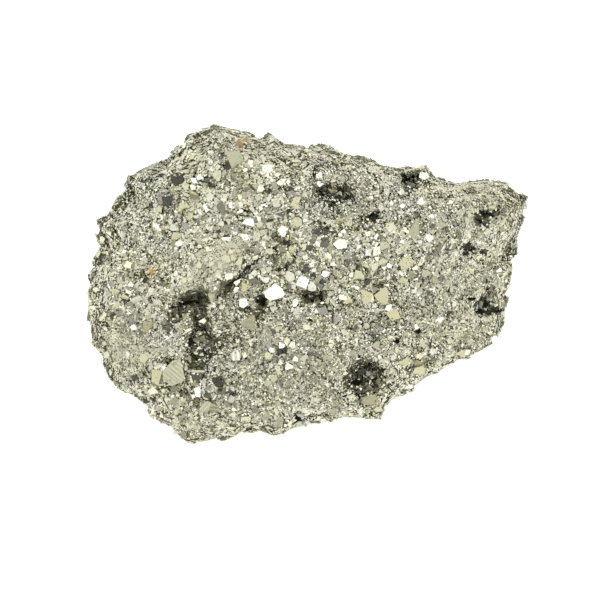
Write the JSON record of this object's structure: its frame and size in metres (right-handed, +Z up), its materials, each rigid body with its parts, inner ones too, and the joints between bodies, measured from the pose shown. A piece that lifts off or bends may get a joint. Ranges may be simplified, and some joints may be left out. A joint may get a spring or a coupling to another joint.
{
  "type": "pyrite specimen",
  "caption": "Loose hand specimen of granular pyrite with a broad crystal face, a ledge, pits and vugs, lying on a flat underside.",
  "frame": {"origin": "middle of the specimen's bounding box, on the surface it rests on", "axes": "+Z up, +X along the specimen's length, -Y the side that the broad crystal face looks towards"},
  "size_m": [0.1016, 0.0744, 0.0458],
  "materials": {
    "pyrite": "gloss"
  },
  "bodies": {
    "root": {"pyrite": "pyrite"}
  },
  "joints": []
}
